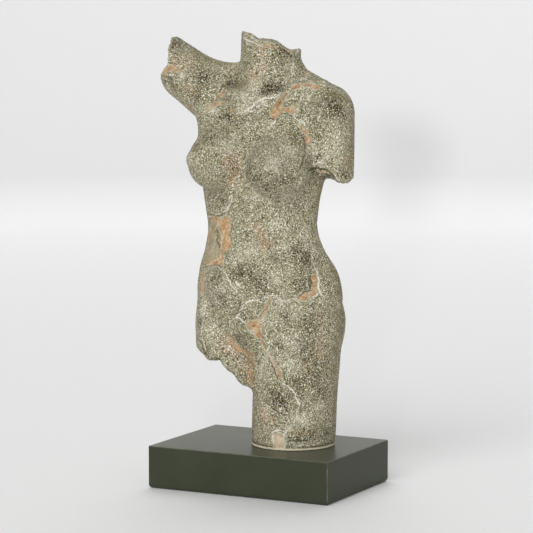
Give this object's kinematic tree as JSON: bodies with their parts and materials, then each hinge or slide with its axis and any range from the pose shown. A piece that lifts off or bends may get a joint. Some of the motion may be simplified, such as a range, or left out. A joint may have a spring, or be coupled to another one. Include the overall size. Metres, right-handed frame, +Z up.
{
  "type": "torso sculpture",
  "caption": "Headless female torso fragment with a raised arm stump, in crackled weathered cast stone, standing on one thigh on a dark rectangular plinth.",
  "frame": {"origin": "centre of the plinth's underside", "axes": "+Z up, -Y the way the figure faces, +X to the figure's left along the plinth's long side"},
  "size_m": [0.2543, 0.165, 0.5323],
  "materials": {
    "cast_stone": "matte",
    "plinth_lacquer": "satin"
  },
  "bodies": {
    "root": {"torso": "cast_stone", "plinth": "plinth_lacquer"}
  },
  "joints": []
}
